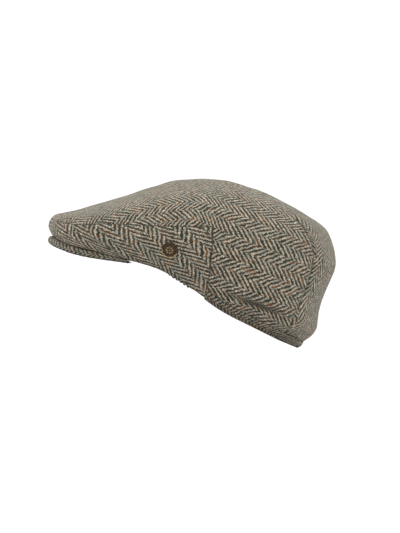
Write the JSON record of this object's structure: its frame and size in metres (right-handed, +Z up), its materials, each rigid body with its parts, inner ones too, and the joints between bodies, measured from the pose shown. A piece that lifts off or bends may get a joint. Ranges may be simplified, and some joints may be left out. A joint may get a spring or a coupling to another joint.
{
  "type": "flat cap",
  "caption": "Flat cap for a head of about 58 cm, with a one-piece top and back, two sewn side strips, a stiff cloth-covered peak, a rolled rear hem and a small metal badge.",
  "frame": {"origin": "middle of the cap's length and width, on the surface it rests on", "axes": "+X to the back of the cap, -X to the front edge of the peak, +Y to the wearer's right side, +Z up from the rim to the top of the crown"},
  "size_m": [0.2724, 0.204, 0.124],
  "materials": {
    "tweed": "woven wool herringbone, matt",
    "tweed_hem": "woven wool herringbone, folded edge, matt",
    "tweed_peak": "woven wool herringbone over a stiff core, matt",
    "brass": "antique, dark with brighter raised edges"
  },
  "bodies": {
    "root": {"crown_panel": "tweed", "side_strip_left": "tweed", "side_strip_right": "tweed", "rim_hem": "tweed_hem", "peak": "tweed_peak", "badge": "brass"}
  },
  "joints": []
}
